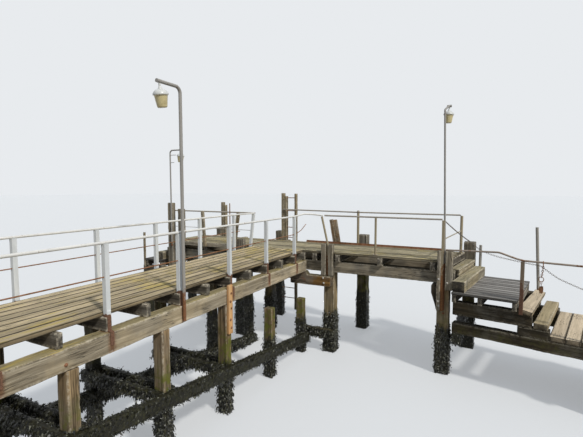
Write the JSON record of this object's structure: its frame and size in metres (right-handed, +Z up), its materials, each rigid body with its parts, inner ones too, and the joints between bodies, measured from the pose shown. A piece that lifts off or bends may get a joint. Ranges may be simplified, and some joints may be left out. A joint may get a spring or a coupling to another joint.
{
  "type": "timber jetty",
  "caption": "Timber jetty on piles: railed walkway, cross head with cheek timbers and lamps, steps to a low landing at each end and a low gangway.",
  "frame": {"origin": "foot of the corner pile, where the walkway meets the head, at the level of the water", "axes": "+X along the head to the low gangway, +Y outward along the walkway to the head, +Z up"},
  "size_m": [17.4527, 12.82, 6.9347],
  "materials": {
    "pile_timber": "weathered",
    "weed_timber": "wet weed",
    "beam_timber": "weathered",
    "deck_timber": "bleached",
    "landing_timber": "weathered",
    "gangway_timber": "bleached",
    "repair_timber": "newer wood",
    "ladder_timber": "weathered",
    "rail_paint": "worn white paint",
    "post_paint": "worn pale paint",
    "rusty_steel": "rusted",
    "lamp_paint": "painted grey",
    "lamp_bowl": "yellowed"
  },
  "bodies": {
    "root": {"back_kerb_angle": "rusty_steel", "cheek_timbers": "beam_timber", "corner_cross_head": "weed_timber", "gangway_beams": "beam_timber", "gangway_boards": "gangway_timber", "gangway_caps": "weed_timber", "gangway_piles": "pile_timber", "guard_bar": "rail_paint", "head_back_beam": "beam_timber", "head_back_piles": "pile_timber", "head_bearers": "beam_timber", "head_deck_boards": "deck_timber", "head_far_rail": "rail_paint", "head_front_beam": "beam_timber", "head_front_piles": "pile_timber", "head_low_timbers": "weed_timber", "head_near_rail": "rail_paint", "head_stanchions": "post_paint", "ladder_rungs": "rusty_steel", "ladder_stile": "ladder_timber", "lamp_poles": "lamp_paint", "landing_back_posts": "post_paint", "landing_posts": "rusty_steel", "landing_support_blocks": "weed_timber", "lantern_bowls": "lamp_bowl", "lantern_caps": "lamp_paint", "leaning_far_post": "post_paint", "leaning_timbers": "ladder_timber", "left_arm_pole": "rusty_steel", "left_arm_posts": "ladder_timber", "left_arm_rails": "rail_paint", "left_kerb_board": "deck_timber", "left_landing_beams": "beam_timber", "left_landing_bearers": "beam_timber", "left_landing_boards": "landing_timber", "left_landing_piles": "pile_timber", "left_landing_post": "ladder_timber", "repair_timber": "repair_timber", "right_landing_beams": "beam_timber", "right_landing_bearers": "beam_timber", "right_landing_boards": "landing_timber", "right_low_steps": "deck_timber", "right_sloping_plank": "deck_timber", "step_baulks": "deck_timber", "step_treads": "deck_timber", "tall_timbers": "pile_timber", "walkway_bearers": "beam_timber", "walkway_cross_timbers": "weed_timber", "walkway_deck_boards": "deck_timber", "walkway_far_mid_rail": "rusty_steel", "walkway_far_piles": "pile_timber", "walkway_far_posts": "post_paint", "walkway_far_stringer": "beam_timber", "walkway_far_top_rail": "rail_paint", "walkway_low_walings": "weed_timber", "walkway_near_mid_rail": "rusty_steel", "walkway_near_piles": "pile_timber", "walkway_near_posts": "post_paint", "walkway_near_stringer": "beam_timber", "walkway_near_top_rail": "rail_paint"}
  },
  "joints": []
}
